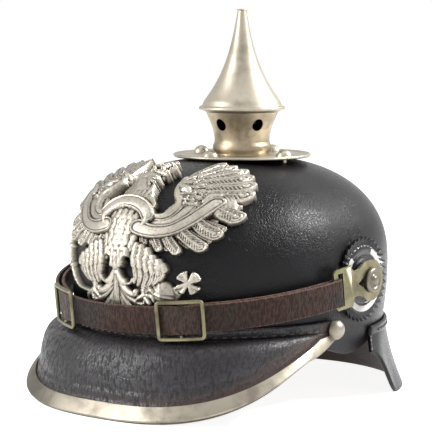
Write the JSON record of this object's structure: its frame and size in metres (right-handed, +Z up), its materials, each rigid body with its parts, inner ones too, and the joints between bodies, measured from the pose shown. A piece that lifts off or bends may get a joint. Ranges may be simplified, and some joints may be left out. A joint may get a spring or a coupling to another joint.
{
  "type": "spiked leather dress helmet",
  "caption": "Black leather spiked dress helmet with front visor, neck guard, eagle plate, cockades and a leather chin strap, all fittings in white metal and brass",
  "frame": {"origin": "centre of the bounding box on the surface that the helmet stands on", "axes": "+Z up, front visor towards -Y, neck guard towards +Y, the wearer's left is +X. It stands on the edges of the visor and the neck guard, so the spike leans back by 1.4 degrees"},
  "size_m": [0.1892, 0.2366, 0.2195],
  "materials": {
    "black_leather": "semi-gloss blackened leather, fine grain",
    "visor_leather": "glossy blackened leather, finely wrinkled",
    "strap_leather": "dark brown cracked leather with pale cut edges",
    "liner_leather": "brown worn leather",
    "black_thread": "waxed black thread",
    "cotton": "natural cotton cord",
    "white_metal": "satin nickel silver, warm and slightly tarnished",
    "old_brass": "dull greenish brass",
    "brass": "plain turned brass",
    "cockade_paint": "black lacquer with one white ring"
  },
  "bodies": {
    "helmet": {"skull": "black_leather", "front_visor": "visor_leather", "rear_visor": "visor_leather", "front_visor_stitching": "black_thread", "rear_visor_stitching": "black_thread", "front_visor_trim": "white_metal", "trim_end_studs": "white_metal", "rear_spine": "white_metal", "rear_spine_stud": "white_metal", "base_plate": "white_metal", "base_plate_studs": "white_metal", "stud_washers": "liner_leather", "spike_neck": "white_metal", "neck_socket": "brass", "eagle_plate": "white_metal", "eagle_loops": "brass", "eagle_wedges": "liner_leather", "left_cockade": "cockade_paint", "right_cockade": "cockade_paint", "post_collars": "white_metal", "left_post": "white_metal", "right_post": "white_metal", "post_washers": "white_metal", "post_nuts": "brass", "sweatband": "liner_leather", "drawstring": "cotton"},
    "strap": {"chinstrap": "strap_leather", "left_lug": "old_brass", "right_lug": "old_brass"},
    "left_buckle": {"left_buckle": "old_brass"},
    "right_buckle": {"right_buckle": "old_brass"},
    "spike": {"spike": "white_metal", "spike_spigot": "brass"}
  },
  "joints": [
    {"name": "strap_swing", "type": "hinge", "parent": "helmet", "child": "strap", "pos_m": [0, 0.01136, 0.06993], "axis": [-1, 0, 0], "range_deg": [0, 68]},
    {"name": "left_buckle_slide", "type": "hinge", "parent": "strap", "child": "left_buckle", "pos_m": [-0.00139, -0.01606, 0.06581], "axis": [0, -0.1488, 0.9889], "range_deg": [-5, 0]},
    {"name": "right_buckle_slide", "type": "hinge", "parent": "strap", "child": "right_buckle", "pos_m": [0.00139, -0.01606, 0.06581], "axis": [0, -0.1488, 0.9889], "range_deg": [0, 5]},
    {"name": "spike_turn", "type": "hinge", "parent": "helmet", "child": "spike", "pos_m": [0, 0.01052, 0.16064], "axis": [0, -0.0236, 0.9997], "continuous": true}
  ]
}
